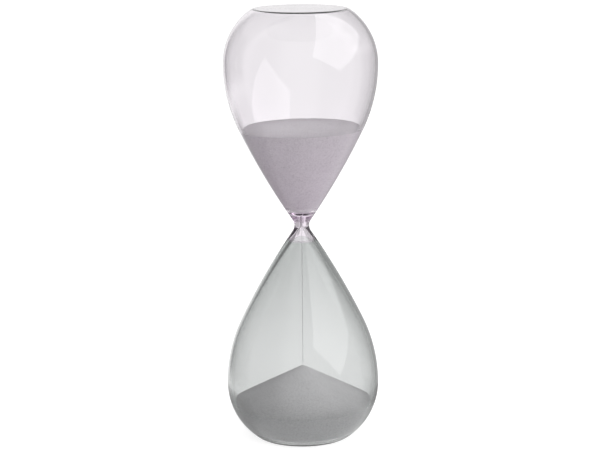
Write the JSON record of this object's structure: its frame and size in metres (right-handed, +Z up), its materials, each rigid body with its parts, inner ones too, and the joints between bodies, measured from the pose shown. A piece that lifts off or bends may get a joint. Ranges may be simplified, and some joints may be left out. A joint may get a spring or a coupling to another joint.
{
  "type": "hourglass",
  "caption": "Free-standing sand timer of blown glass without a frame: a pale pink bulb over a smoke grey one, joined by a thick metering throat, with sand falling inside.",
  "frame": {"origin": "centre of the flat end that the hourglass stands on, on the axis of revolution", "axes": "+Z up along the axis of revolution, from the smoke grey bulb to the pink one; X and Y level"},
  "size_m": [0.076, 0.076, 0.215],
  "materials": {
    "pink_glass": "clear blown glass with a faint lilac pink tint",
    "smoke_glass": "clear blown glass with a smoke grey tint",
    "sand": "fine dry matt sand, pale grey",
    "falling_sand": "loose falling grains of the same sand"
  },
  "bodies": {
    "glass": {"upper_bulb": "pink_glass", "throat": "pink_glass", "lower_bulb": "smoke_glass", "fill_seal": "smoke_glass", "sand_upper": "sand", "sand_lower": "sand"},
    "falling_sand": {"sand_stream": "falling_sand"}
  },
  "joints": [
    {"name": "stream_fall", "type": "slide", "parent": "glass", "child": "falling_sand", "axis": [0, 0, -1], "range_m": [0, 0.0012]}
  ]
}
